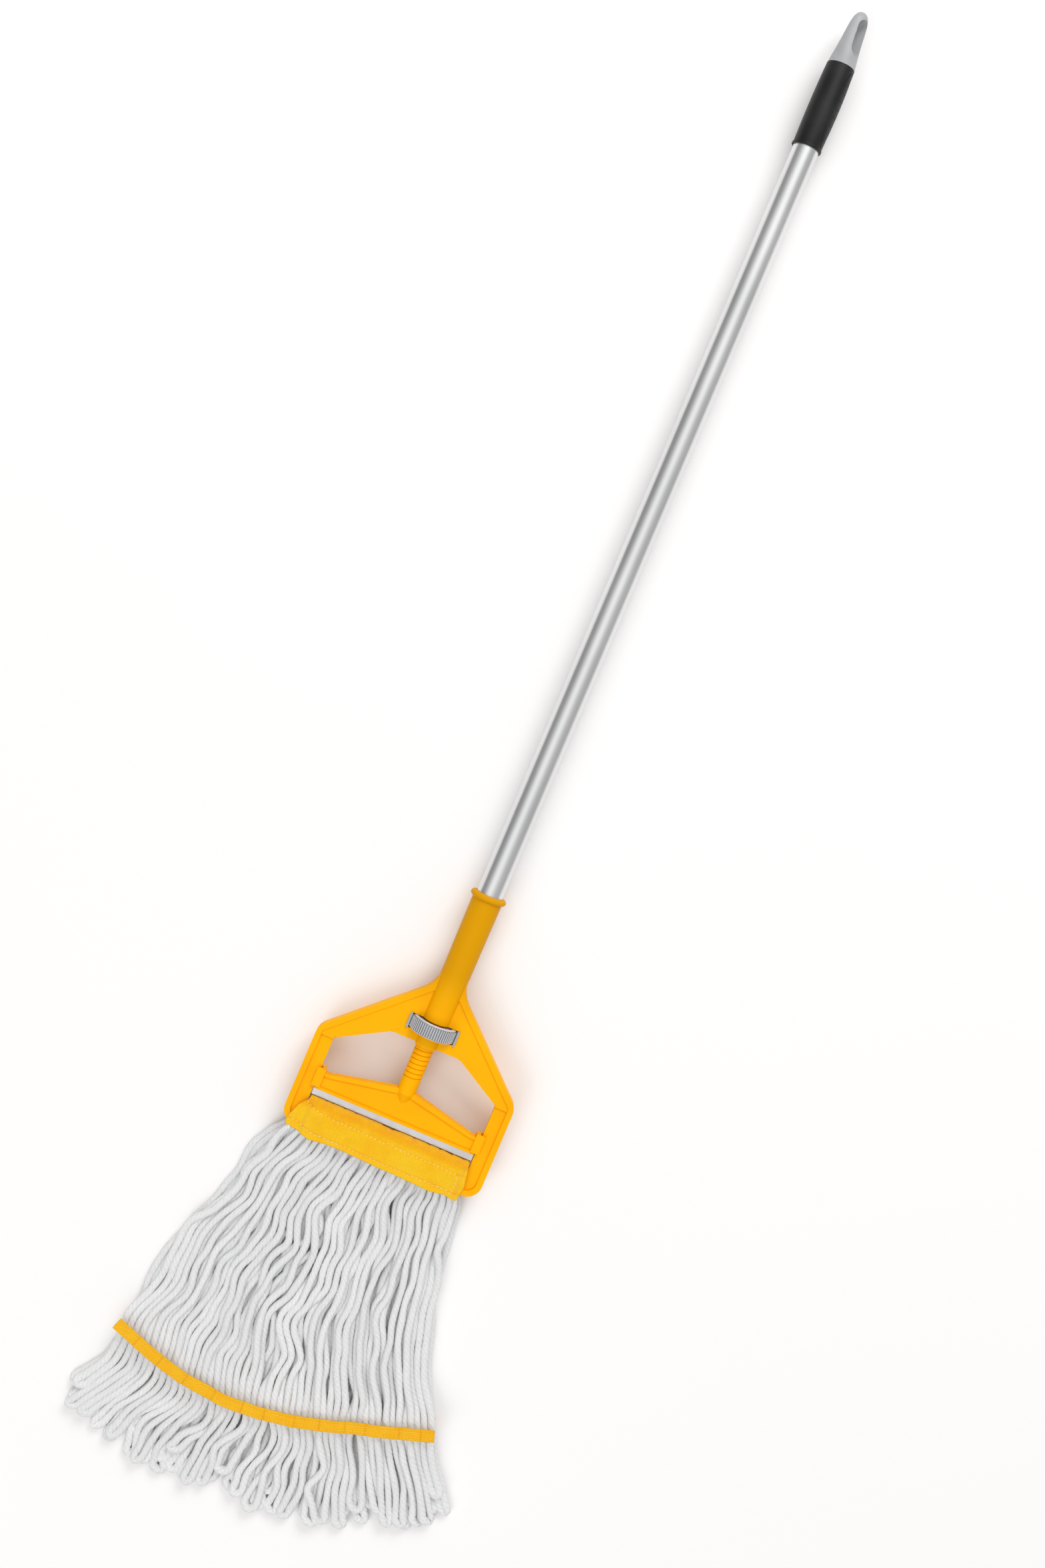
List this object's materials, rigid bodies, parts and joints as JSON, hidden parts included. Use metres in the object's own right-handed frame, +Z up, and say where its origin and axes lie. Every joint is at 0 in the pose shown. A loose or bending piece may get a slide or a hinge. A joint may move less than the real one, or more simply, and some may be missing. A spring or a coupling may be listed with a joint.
{
  "type": "string mop",
  "caption": "Wet string mop: aluminium handle with grip and hanging cap, screw-clamp head, looped cotton yarns with headband and tail bands.",
  "frame": {"origin": "centre of the bounding box at the floor the mop lies on", "axes": "+Y along the handle towards the hanging cap, +X across the clamp, +Z up from the floor"},
  "size_m": [0.38, 1.51, 0.0472],
  "materials": {
    "tube": "satin anodised",
    "grip": "satin soft-touch",
    "grey_plastic": "satin moulded",
    "clamp_plastic": "fine moulded texture",
    "strip_metal": "brushed",
    "steel": "zinc plated",
    "headband": "mesh knit",
    "yarn": "plied cotton",
    "tape": "woven tape",
    "thread": "polyester thread"
  },
  "bodies": {
    "mop": {"handle_tube": "tube", "tube_tip_plug": "grey_plastic", "hand_grip": "grip", "hanging_cap": "grey_plastic", "retaining_screw": "steel", "clamp_frame": "clamp_plastic", "wheel_guides": "grey_plastic", "headband_outer": "headband", "yarn_core": "yarn", "headband_liner": "headband", "headband_stitching": "thread", "yarns_front": "yarn", "loop_ends_front": "yarn", "yarns_back": "yarn", "loop_ends_back": "yarn", "tail_tape_front": "tape", "tail_tape_front_inner": "tape", "tail_tape_back_inner": "tape", "tail_tape_back": "tape", "tail_stitching": "thread"},
    "thumb_wheel": {"thumb_wheel": "grey_plastic"},
    "jaw": {"clamp_jaw": "clamp_plastic", "pressure_strip": "strip_metal", "strip_rivets": "steel"}
  },
  "joints": [
    {"name": "wheel_spin", "type": "hinge", "parent": "mop", "child": "thumb_wheel", "pos_m": [0, -0.265, 0.025], "axis": [0, -1, 0], "range_deg": [0, 1805]},
    {"name": "jaw_slide", "type": "slide", "parent": "mop", "child": "jaw", "axis": [0, 1, 0], "range_m": [0, 0.0225]}
  ],
  "couplings": [
    {"joint": "wheel_spin", "follows": "jaw_slide", "rad_per_m": 1396.3}
  ]
}
